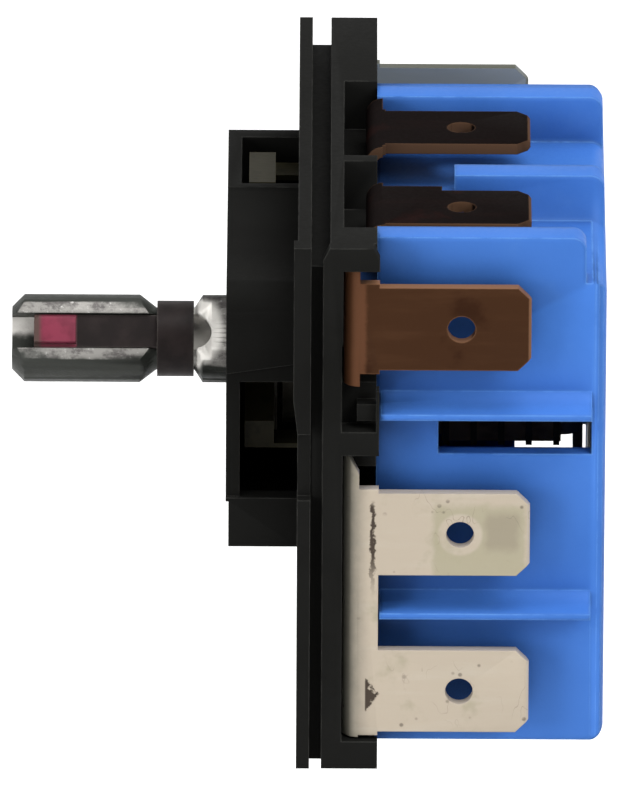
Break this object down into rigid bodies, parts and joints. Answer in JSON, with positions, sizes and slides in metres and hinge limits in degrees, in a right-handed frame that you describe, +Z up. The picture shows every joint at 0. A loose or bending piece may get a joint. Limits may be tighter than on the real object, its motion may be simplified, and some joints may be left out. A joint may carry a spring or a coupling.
{
  "type": "infinite switch",
  "caption": "Push-to-turn energy regulator with a slotted D shaft, black cam block and carrier, blue ribbed housing and bent blade terminals.",
  "frame": {"origin": "shaft axis at the front face of the panel plate, which lies against the appliance's panel", "axes": "+Y from the panel into the appliance, so the shaft points to -Y; +Z up, towards the top terminals; +X to the side with three blade tabs"},
  "size_m": [0.0448, 0.0428, 0.0404],
  "materials": {
    "black_plastic": "satin black thermoset",
    "blue_plastic": "moulded blue thermoplastic",
    "zinc": "bright zinc, cast marks",
    "maroon_plastic": "smooth maroon",
    "ivory_plastic": "moulded ivory",
    "dark_copper": "heat-darkened copper alloy",
    "brown_copper": "brown copper alloy",
    "tin_plate": "dull tin plate with stains",
    "grey_tin": "grey tin plate",
    "spring_brass": "rolled brass",
    "silver_contact": "silver contact alloy",
    "spring_steel": "spring steel",
    "plated_steel": "plated steel",
    "bimetal_strip": "bimetal, slightly blued",
    "mica": "pressed mica",
    "resistance_ribbon": "oxidised resistance ribbon",
    "ceramic": "unglazed ceramic"
  },
  "bodies": {
    "switch_body": {"front_cover": "black_plastic", "terminal_carrier": "black_plastic", "rear_housing": "blue_plastic", "terminal_line_out": "dark_copper", "terminal_line_in": "dark_copper", "terminal_heater": "brown_copper", "terminal_line_pair": "tin_plate", "terminal_pilot": "grey_tin", "follower_pin": "plated_steel", "line_blade_rivet": "plated_steel", "line_fixed_contact": "silver_contact", "snap_blade_rivet": "plated_steel", "heater_fixed_contact": "silver_contact", "pilot_link": "spring_brass", "pilot_fixed_contact": "silver_contact", "bimetal": "bimetal_strip", "heater_card": "mica", "heater_winding": "resistance_ribbon", "push_bead": "ceramic", "bimetal_bracket": "plated_steel", "bracket_rivet": "plated_steel", "bimetal_rivets": "plated_steel", "calibration_screw": "plated_steel", "panel_inserts": "spring_brass", "assembly_rivets": "plated_steel"},
    "cam_body": {"cam": "ivory_plastic", "push_spring": "spring_steel"},
    "shaft_body": {"shaft": "zinc", "knob_clip": "maroon_plastic", "retaining_ring": "spring_steel"},
    "follower_body": {"follower_lever": "ivory_plastic"},
    "plunger_body": {"line_plunger": "ivory_plastic"},
    "line_blade_body": {"line_blade": "spring_brass", "line_moving_contact": "silver_contact"},
    "snap_blade_body": {"snap_blade": "spring_brass", "snap_moving_contact": "silver_contact"},
    "pilot_spring_body": {"pilot_spring": "spring_brass", "pilot_moving_contact": "silver_contact"}
  },
  "joints": [
    {"name": "knob_turn", "type": "hinge", "parent": "switch_body", "child": "cam_body", "pos_m": [0, 0, 0], "axis": [0, 1, 0], "range_deg": [0, 300]},
    {"name": "knob_push", "type": "slide", "parent": "cam_body", "child": "shaft_body", "axis": [0, 1, 0], "range_m": [0, 0.0016], "stiffness_N_per_m": 900, "springref_m": -0.002, "deforming": ["push_spring"]},
    {"name": "follower_swing", "type": "hinge", "parent": "switch_body", "child": "follower_body", "pos_m": [-0.0102, 0, -0.0062], "axis": [0, 1, 0], "range_deg": [-20.1, 0]},
    {"name": "plunger_slide", "type": "slide", "parent": "switch_body", "child": "plunger_body", "axis": [0, -1, 0], "range_m": [0, 0.00026]},
    {"name": "line_blade_bend", "type": "hinge", "parent": "switch_body", "child": "line_blade_body", "pos_m": [0.0112, 0.007, 0.0093], "axis": [0, 0, 1], "range_deg": [0, 1.7]},
    {"name": "snap_blade_bend", "type": "hinge", "parent": "switch_body", "child": "snap_blade_body", "pos_m": [0.0074, 0.00655, -0.0036], "axis": [1, 0, 0], "range_deg": [0, 2.8]},
    {"name": "pilot_spring_bend", "type": "hinge", "parent": "switch_body", "child": "pilot_spring_body", "pos_m": [0.01125, 0, -0.0036], "axis": [0, 1, 0], "range_deg": [0, 2.4]}
  ],
  "couplings": [
    {"joint": "follower_swing", "follows": "knob_turn", "ratio": -0.066667},
    {"joint": "line_blade_bend", "follows": "plunger_slide", "rad_per_m": 110}
  ]
}
